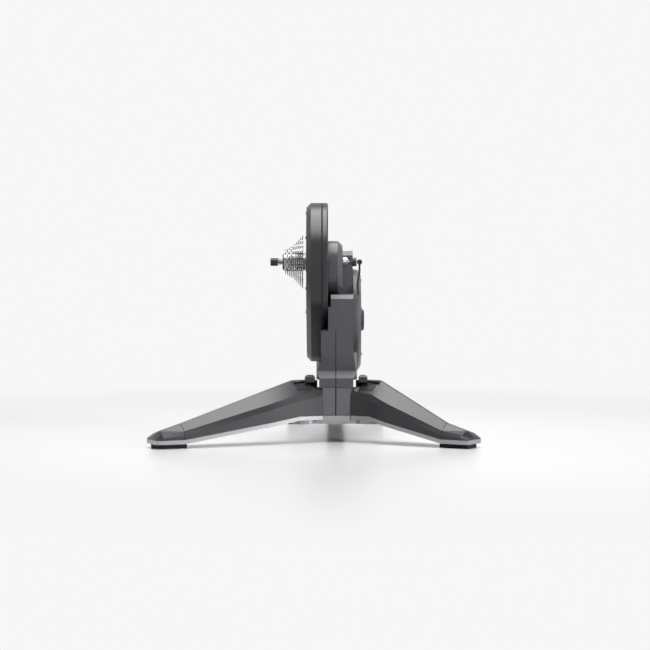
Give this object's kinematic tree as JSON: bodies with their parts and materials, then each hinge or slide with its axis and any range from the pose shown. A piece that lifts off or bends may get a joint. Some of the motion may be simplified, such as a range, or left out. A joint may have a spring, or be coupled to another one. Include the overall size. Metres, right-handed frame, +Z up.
{
  "type": "direct drive bike trainer",
  "caption": "Free-standing direct drive trainer: folding legs, upright casing with belt-driven flywheel, and a rear axle with a cassette.",
  "frame": {"origin": "centre of the footprint, on the floor", "axes": "+Z up, -Y towards the front where the two legs reach, +X away from the cassette side"},
  "size_m": [0.645, 0.6528, 0.474],
  "materials": {
    "casing_plastic": "fine moulded texture, dark grey",
    "dark_plastic": "black moulded, satin",
    "cast_metal": "silver painted casting",
    "steel": "turned",
    "sprocket_steel": "nickel plated, stamped",
    "rubber": "matt moulded",
    "circuit_board": "solder mask"
  },
  "bodies": {
    "base": {"pulley_cover_front": "casing_plastic", "pulley_cover_back": "casing_plastic", "casing_right": "casing_plastic", "casing_left": "casing_plastic", "frame_plate": "cast_metal", "flywheel_bearing_inner": "steel", "flywheel_bearing_outer": "steel", "brake_magnet_block": "dark_plastic", "control_board": "circuit_board", "flywheel_cover": "casing_plastic", "flywheel_cap": "dark_plastic", "axle_housing": "casing_plastic", "axle": "steel", "axle_nut": "steel", "axle_bearing_left": "steel", "axle_bearing_right": "steel", "drive_belt": "rubber", "skewer_rod": "steel", "skewer_head": "dark_plastic", "spring_left": "steel", "spring_right": "steel", "hub_casting": "cast_metal", "hub_cover_left": "casing_plastic", "hub_cover_right": "casing_plastic", "pivot_pin_left": "steel", "pivot_pin_right": "steel", "rear_beam": "casing_plastic", "rear_foot_bar": "casing_plastic", "rear_pad_left": "rubber", "rear_pad_right": "rubber", "power_inlet": "dark_plastic"},
    "leg_left": {"leg_cover_left": "casing_plastic", "leg_arm_left": "cast_metal", "foot_cap_left": "casing_plastic", "foot_pad_left": "rubber"},
    "leg_right": {"leg_cover_right": "casing_plastic", "leg_arm_right": "cast_metal", "foot_cap_right": "casing_plastic", "foot_pad_right": "rubber"},
    "flywheel_set": {"flywheel": "steel", "flywheel_shaft": "steel", "small_pulley": "steel"},
    "pulley": {"drive_pulley": "cast_metal"},
    "cassette": {"sprocket_25": "sprocket_steel", "sprocket_23": "sprocket_steel", "sprocket_21": "sprocket_steel", "sprocket_19": "sprocket_steel", "sprocket_17": "sprocket_steel", "sprocket_15": "sprocket_steel", "sprocket_14": "sprocket_steel", "sprocket_13": "sprocket_steel", "sprocket_12": "sprocket_steel", "sprocket_11": "sprocket_steel", "freehub_body": "steel", "cassette_lock_ring": "dark_plastic"},
    "nut": {"skewer_nut": "dark_plastic"},
    "lever": {"skewer_lever": "dark_plastic"}
  },
  "joints": [
    {"name": "left_leg_fold", "type": "hinge", "parent": "base", "child": "leg_left", "pos_m": [-0.0185, -0.1629, 0.08], "axis": [0, 0, -1], "range_deg": [0, 105]},
    {"name": "right_leg_fold", "type": "hinge", "parent": "base", "child": "leg_right", "pos_m": [0.1055, -0.1629, 0.08], "axis": [0, 0, 1], "range_deg": [0, 114]},
    {"name": "flywheel_spin", "type": "hinge", "parent": "base", "child": "flywheel_set", "pos_m": [0.0615, 0.0021, 0.236], "axis": [1, 0, 0], "continuous": true},
    {"name": "pulley_spin", "type": "hinge", "parent": "base", "child": "pulley", "pos_m": [0.0075, -0.1129, 0.356], "axis": [1, 0, 0], "continuous": true},
    {"name": "cassette_freewheel", "type": "hinge", "parent": "pulley", "child": "cassette", "pos_m": [-0.0385, -0.1129, 0.356], "axis": [1, 0, 0], "continuous": true},
    {"name": "skewer_nut_turn", "type": "hinge", "parent": "base", "child": "nut", "pos_m": [-0.0785, -0.1129, 0.356], "axis": [1, 0, 0], "continuous": true},
    {"name": "skewer_lever_swing", "type": "hinge", "parent": "base", "child": "lever", "pos_m": [0.0905, -0.1129, 0.356], "axis": [0, -1, 0], "range_deg": [0, 180]}
  ],
  "couplings": [
    {"joint": "pulley_spin", "follows": "flywheel_spin", "ratio": 0.22}
  ]
}
